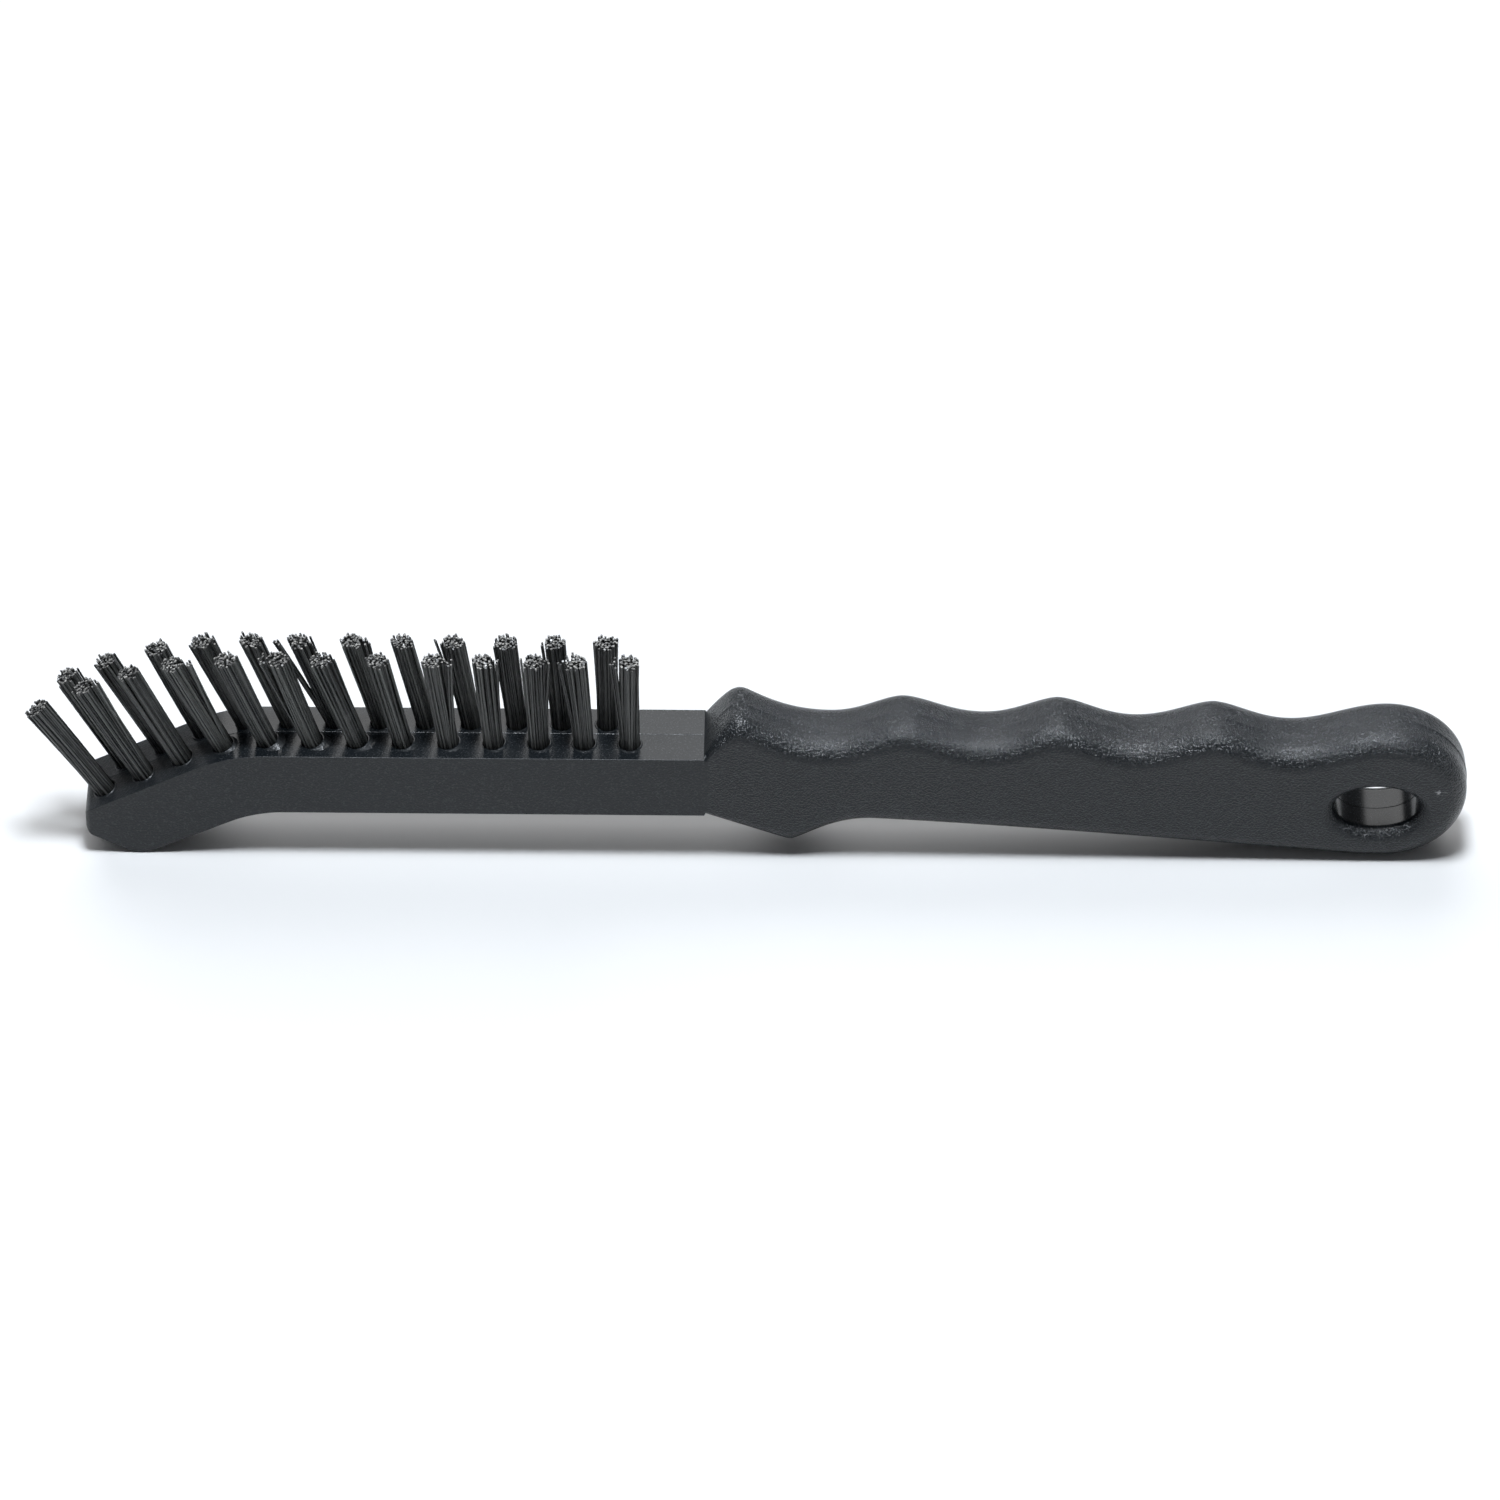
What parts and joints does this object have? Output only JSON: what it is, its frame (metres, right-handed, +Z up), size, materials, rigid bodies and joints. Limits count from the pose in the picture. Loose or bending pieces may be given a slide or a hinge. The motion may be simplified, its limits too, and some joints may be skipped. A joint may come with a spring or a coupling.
{
  "type": "wheel brush",
  "caption": "Slim hand brush with a straight two-row head, a bent tip, stiff bristle tufts and a finger-grooved handle with a hang hole.",
  "frame": {"origin": "centre of the bounding box's base, on the surface that the brush's spine stands on", "axes": "+X along the brush from the bent tip to the handle end, +Y across it to the far side, +Z up along the bristles at the collar end"},
  "size_m": [0.2618, 0.0136, 0.0459],
  "materials": {
    "body_plastic": "black moulded polypropylene, satin on the head and finely spark-eroded on the grip",
    "filament": "stiff dark grey synthetic filament with light cut ends",
    "anchor_metal": "flat drawn anchor wire, cut to length"
  },
  "bodies": {
    "root": {"brush_body": "body_plastic", "tuft_near_01": "filament", "tuft_near_02": "filament", "tuft_near_03": "filament", "tuft_near_04": "filament", "tuft_near_05": "filament", "tuft_near_06": "filament", "tuft_near_07": "filament", "tuft_near_08": "filament", "tuft_near_09": "filament", "tuft_near_10": "filament", "tuft_near_11": "filament", "tuft_near_12": "filament", "tuft_near_13": "filament", "tuft_far_01": "filament", "tuft_far_02": "filament", "tuft_far_03": "filament", "tuft_far_04": "filament", "tuft_far_05": "filament", "tuft_far_06": "filament", "tuft_far_07": "filament", "tuft_far_08": "filament", "tuft_far_09": "filament", "tuft_far_10": "filament", "tuft_far_11": "filament", "tuft_far_12": "filament", "anchor_near_01": "anchor_metal", "anchor_near_02": "anchor_metal", "anchor_near_03": "anchor_metal", "anchor_near_04": "anchor_metal", "anchor_near_05": "anchor_metal", "anchor_near_06": "anchor_metal", "anchor_near_07": "anchor_metal", "anchor_near_08": "anchor_metal", "anchor_near_09": "anchor_metal", "anchor_near_10": "anchor_metal", "anchor_near_11": "anchor_metal", "anchor_near_12": "anchor_metal", "anchor_near_13": "anchor_metal", "anchor_far_01": "anchor_metal", "anchor_far_02": "anchor_metal", "anchor_far_03": "anchor_metal", "anchor_far_04": "anchor_metal", "anchor_far_05": "anchor_metal", "anchor_far_06": "anchor_metal", "anchor_far_07": "anchor_metal", "anchor_far_08": "anchor_metal", "anchor_far_09": "anchor_metal", "anchor_far_10": "anchor_metal", "anchor_far_11": "anchor_metal", "anchor_far_12": "anchor_metal"}
  },
  "joints": []
}
